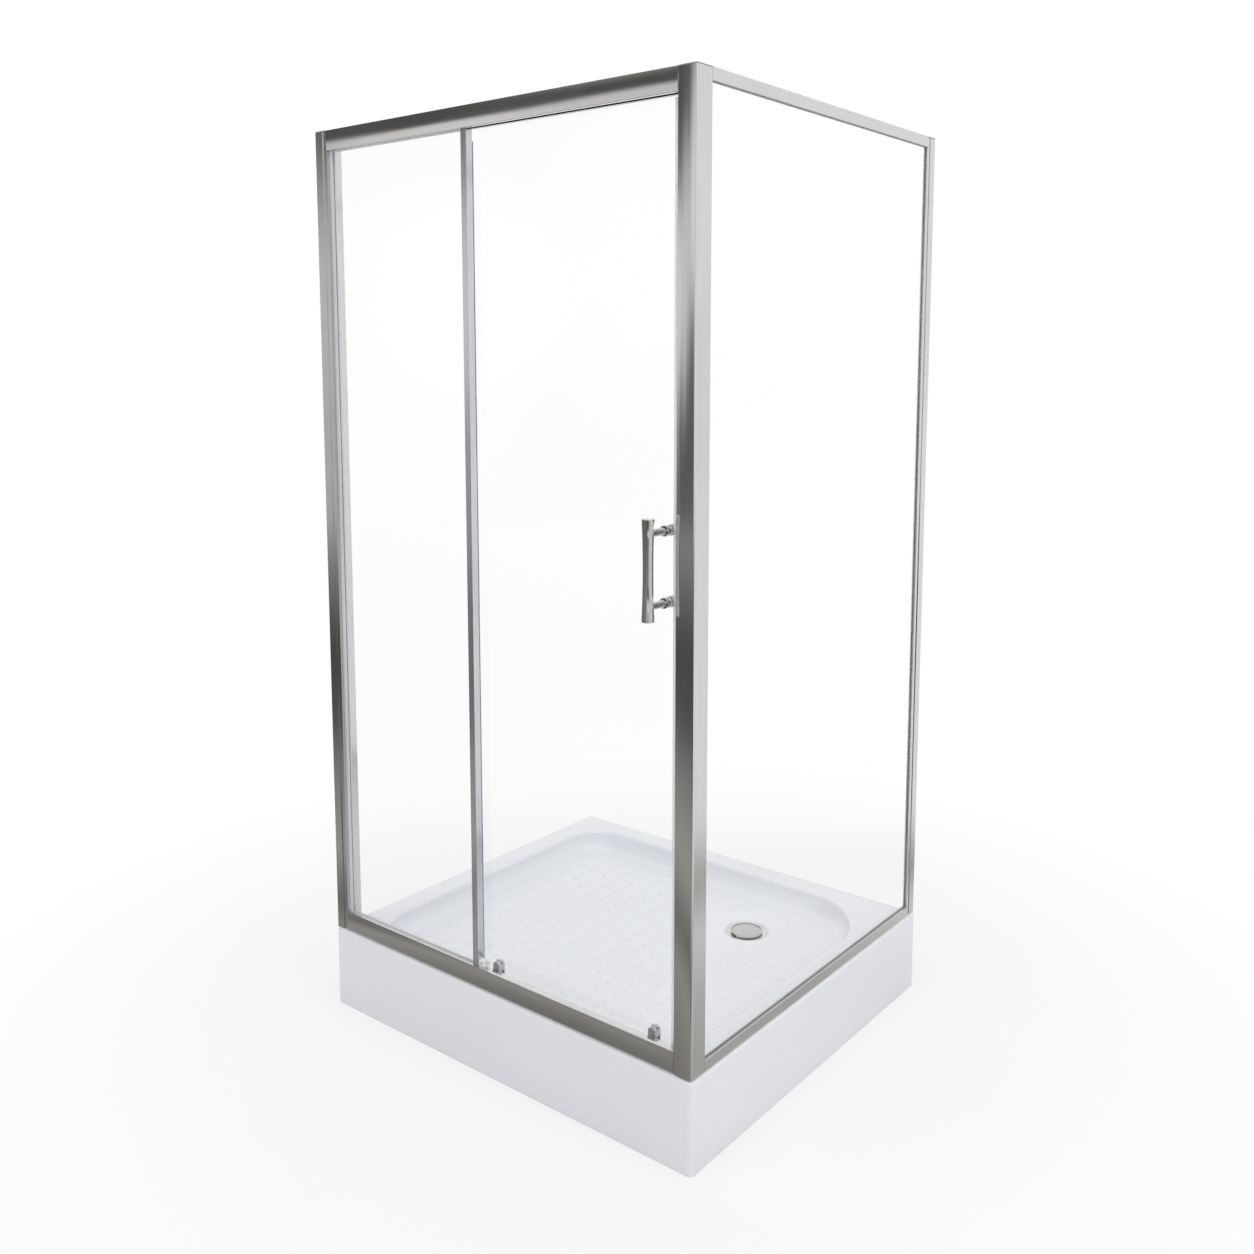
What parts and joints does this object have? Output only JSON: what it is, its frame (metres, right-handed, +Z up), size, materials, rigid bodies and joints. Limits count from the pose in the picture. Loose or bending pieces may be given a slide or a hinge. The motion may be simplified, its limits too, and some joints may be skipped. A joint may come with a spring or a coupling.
{
  "type": "shower enclosure with sliding door",
  "caption": "Framed rectangular shower enclosure on a high white tray: sliding glass door beside a fixed pane, glass side panel, open to two walls.",
  "frame": {"origin": "on the floor under the middle of the tray, on the underside of the centre foot", "axes": "+Z up, +X along the front towards the glass side panel, +Y from the front to the back wall"},
  "size_m": [1, 0.9397, 1.95],
  "materials": {
    "white_acrylic": "glossy white acrylic",
    "board": "raw pressed board",
    "zinc_steel": "zinc-plated steel",
    "black_plastic": "moulded black plastic",
    "grey_plastic": "moulded grey plastic",
    "chrome": "polished chrome plating",
    "polished_aluminium": "polished and anodised aluminium extrusion",
    "clear_glass": "clear tempered safety glass",
    "glazing_rubber": "grey extruded glazing wedge",
    "black_rubber": "black rubber",
    "soft_seal": "soft translucent vinyl",
    "magnet_strip": "magnetic strip in pale vinyl",
    "white_plastic": "moulded white plastic",
    "nylon": "natural nylon",
    "silver_plastic": "metallised plastic",
    "steel": "bright steel"
  },
  "bodies": {
    "frame": {"corner_post": "polished_aluminium", "door_guide_foot": "white_plastic", "drain_flange": "chrome", "drain_gasket": "black_rubber", "drain_trap": "grey_plastic", "fixed_edge_profile": "polished_aluminium", "fixed_glass": "clear_glass", "frame_caps": "grey_plastic", "frame_cross_bars": "zinc_steel", "frame_long_bars": "zinc_steel", "frame_screws": "steel", "front_gaskets": "glazing_rubber", "jamb_back": "polished_aluminium", "jamb_left": "polished_aluminium", "leg_nuts": "zinc_steel", "leg_pads": "black_plastic", "leg_studs": "zinc_steel", "post_magnet": "magnet_strip", "setting_blocks": "black_rubber", "shower_tray": "white_acrylic", "side_bottom_rail": "polished_aluminium", "side_gaskets": "glazing_rubber", "side_glass": "clear_glass", "side_top_rail": "polished_aluminium", "support_board": "board", "threshold_cover": "polished_aluminium", "threshold_rail": "polished_aluminium", "top_rail": "polished_aluminium", "track_stops": "black_rubber", "wall_channel_back": "polished_aluminium", "wall_channel_left": "polished_aluminium"},
    "door": {"door_glass": "clear_glass", "door_rear_profile": "polished_aluminium", "door_rear_seal": "soft_seal", "door_front_seal": "soft_seal", "door_magnet": "magnet_strip", "door_bottom_seal": "soft_seal", "pane_bushes": "grey_plastic", "top_axles": "steel", "guide_screws": "steel", "handle_bar": "chrome", "handle_standoffs": "chrome", "handle_collars": "chrome", "handle_washers": "soft_seal", "handle_knobs": "chrome", "handle_studs": "steel", "guide_housing_left": "silver_plastic", "guide_housing_right": "silver_plastic", "guide_spring_left": "steel", "guide_spring_right": "steel"},
    "cover": {"drain_cover": "chrome"},
    "top_roller_left": {"top_wheel_left": "nylon", "top_bearing_left": "steel"},
    "slider_left": {"guide_slider_left": "silver_plastic"},
    "guide_roller_left": {"guide_wheel_left": "nylon"},
    "top_roller_right": {"top_wheel_right": "nylon", "top_bearing_right": "steel"},
    "slider_right": {"guide_slider_right": "silver_plastic"},
    "guide_roller_right": {"guide_wheel_right": "nylon"}
  },
  "joints": [
    {"name": "door_slide", "type": "slide", "parent": "frame", "child": "door", "axis": [-1, 0, 0], "range_m": [0, 0.37]},
    {"name": "top_roller_turn_left", "type": "hinge", "parent": "door", "child": "top_roller_left", "pos_m": [-0.021, -0.40955, 1.9256], "axis": [0, -1, 0], "continuous": true},
    {"name": "guide_release_left", "type": "slide", "parent": "door", "child": "slider_left", "axis": [0, 0, 1], "range_m": [0, 0.004], "stiffness_N_per_m": 400, "springref_m": -0.01, "deforming": ["guide_spring_left"]},
    {"name": "guide_roller_turn_left", "type": "hinge", "parent": "slider_left", "child": "guide_roller_left", "pos_m": [-0.021, -0.4055, 0.2031], "axis": [0, -1, 0], "continuous": true},
    {"name": "top_roller_turn_right", "type": "hinge", "parent": "door", "child": "top_roller_right", "pos_m": [0.384, -0.40955, 1.9256], "axis": [0, -1, 0], "continuous": true},
    {"name": "guide_release_right", "type": "slide", "parent": "door", "child": "slider_right", "axis": [0, 0, 1], "range_m": [0, 0.004], "stiffness_N_per_m": 400, "springref_m": -0.01, "deforming": ["guide_spring_right"]},
    {"name": "guide_roller_turn_right", "type": "hinge", "parent": "slider_right", "child": "guide_roller_right", "pos_m": [0.384, -0.4055, 0.2031], "axis": [0, -1, 0], "continuous": true},
    {"name": "drain_cover_lift", "type": "slide", "parent": "frame", "child": "cover", "axis": [0, 0, 1], "range_m": [0, 0.03]}
  ],
  "couplings": [
    {"joint": "top_roller_turn_left", "follows": "door_slide", "rad_per_m": 86.957},
    {"joint": "guide_roller_turn_left", "follows": "door_slide", "rad_per_m": 166.67},
    {"joint": "top_roller_turn_right", "follows": "door_slide", "rad_per_m": 86.957},
    {"joint": "guide_roller_turn_right", "follows": "door_slide", "rad_per_m": 166.67}
  ]
}
